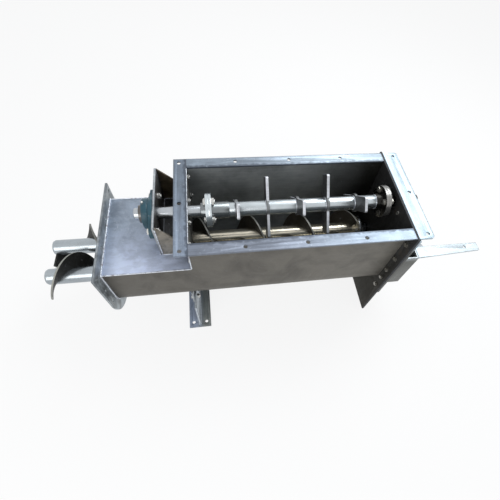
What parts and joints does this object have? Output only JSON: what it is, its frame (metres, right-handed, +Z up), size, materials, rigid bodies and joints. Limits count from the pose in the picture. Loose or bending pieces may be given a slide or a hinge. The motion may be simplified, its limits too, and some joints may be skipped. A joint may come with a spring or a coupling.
{
  "type": "twin screw feeder with paddle agitator",
  "caption": "Twin-screw feeder: open flanged hopper, contra-turning screws in a round-bottomed trough, paddle agitator above, bolted end plates, gear box and torque arm",
  "frame": {"origin": "centre of the left foot plate's bolt rectangle, on the floor under the saddle plate", "axes": "+X along the screws from the discharge end to the drive end, +Y across to the rear as seen in the picture, +Z up out of the inlet"},
  "size_m": [1.693, 0.444, 0.6253],
  "materials": {
    "casing_steel": "bare sheet with grinding marks and stains",
    "trough_sheet": "dull bare sheet, streaked",
    "support_plate": "dull bare plate",
    "machined_steel": "turned and polished",
    "agitator_steel": "bright ground bar and tube",
    "screw_steel": "warm worn steel",
    "bearing_housing": "teal paint on cast iron",
    "fasteners": "zinc plated",
    "gear_steel": "oiled machined steel"
  },
  "bodies": {
    "casing": {"trough_shell": "trough_sheet", "tube_cover": "trough_sheet", "discharge_flange": "casing_steel", "hopper_end_wall": "trough_sheet", "inlet_rim_left": "casing_steel", "inlet_rim_front": "casing_steel", "inlet_rim_rear": "casing_steel", "end_plate": "support_plate", "drive_plate": "casing_steel", "plate_bolts": "fasteners", "gear_box": "casing_steel", "torque_arm": "casing_steel", "bracket_web": "casing_steel", "bracket_rib_front": "casing_steel", "bracket_rib_rear": "casing_steel", "agitator_bearing": "bearing_housing", "agitator_bearing_bolts": "fasteners", "agitator_drive_bearing": "bearing_housing", "agitator_drive_bolts": "fasteners", "screw_bearing_front": "bearing_housing", "screw_bearing_rear": "bearing_housing", "panel_bearing_front": "bearing_housing", "panel_bearing_rear": "bearing_housing", "shaft_gland": "machined_steel", "gland_bolts": "fasteners", "foot_plate": "support_plate", "saddle_plate": "support_plate", "saddle_lug_front": "support_plate", "saddle_lug_rear": "support_plate", "saddle_bolts": "fasteners"},
    "agitator": {"agitator_stub": "machined_steel", "bearing_insert": "machined_steel", "lock_collar": "machined_steel", "left_coupling_stub": "machined_steel", "left_coupling_tube": "machined_steel", "left_coupling_bolts": "fasteners", "agitator_tube": "agitator_steel", "agitator_paddle_1": "agitator_steel", "agitator_paddle_2": "agitator_steel", "agitator_paddle_3": "agitator_steel", "agitator_paddle_4": "agitator_steel", "agitator_paddle_5": "agitator_steel", "right_coupling_tube": "machined_steel", "agitator_drive_stub": "machined_steel", "right_coupling_bolts": "fasteners"},
    "front_screw": {"screw_pipe_front": "screw_steel", "screw_flight_front": "screw_steel", "screw_shaft_front": "machined_steel", "screw_coupling_bolts_front": "fasteners", "timing_gear_front": "gear_steel"},
    "rear_screw": {"screw_pipe_rear": "screw_steel", "screw_flight_rear": "screw_steel", "screw_shaft_rear": "machined_steel", "screw_coupling_bolts_rear": "fasteners", "timing_gear_rear": "gear_steel"}
  },
  "joints": [
    {"name": "agitator_turn", "type": "hinge", "parent": "casing", "child": "agitator", "pos_m": [0.4, 0, 0.536], "axis": [1, 0, 0], "continuous": true},
    {"name": "front_screw_turn", "type": "hinge", "parent": "casing", "child": "front_screw", "pos_m": [0, -0.065, 0.28], "axis": [1, 0, 0], "continuous": true},
    {"name": "rear_screw_turn", "type": "hinge", "parent": "casing", "child": "rear_screw", "pos_m": [0, 0.065, 0.28], "axis": [1, 0, 0], "continuous": true}
  ],
  "couplings": [
    {"joint": "rear_screw_turn", "follows": "front_screw_turn", "ratio": -1}
  ]
}
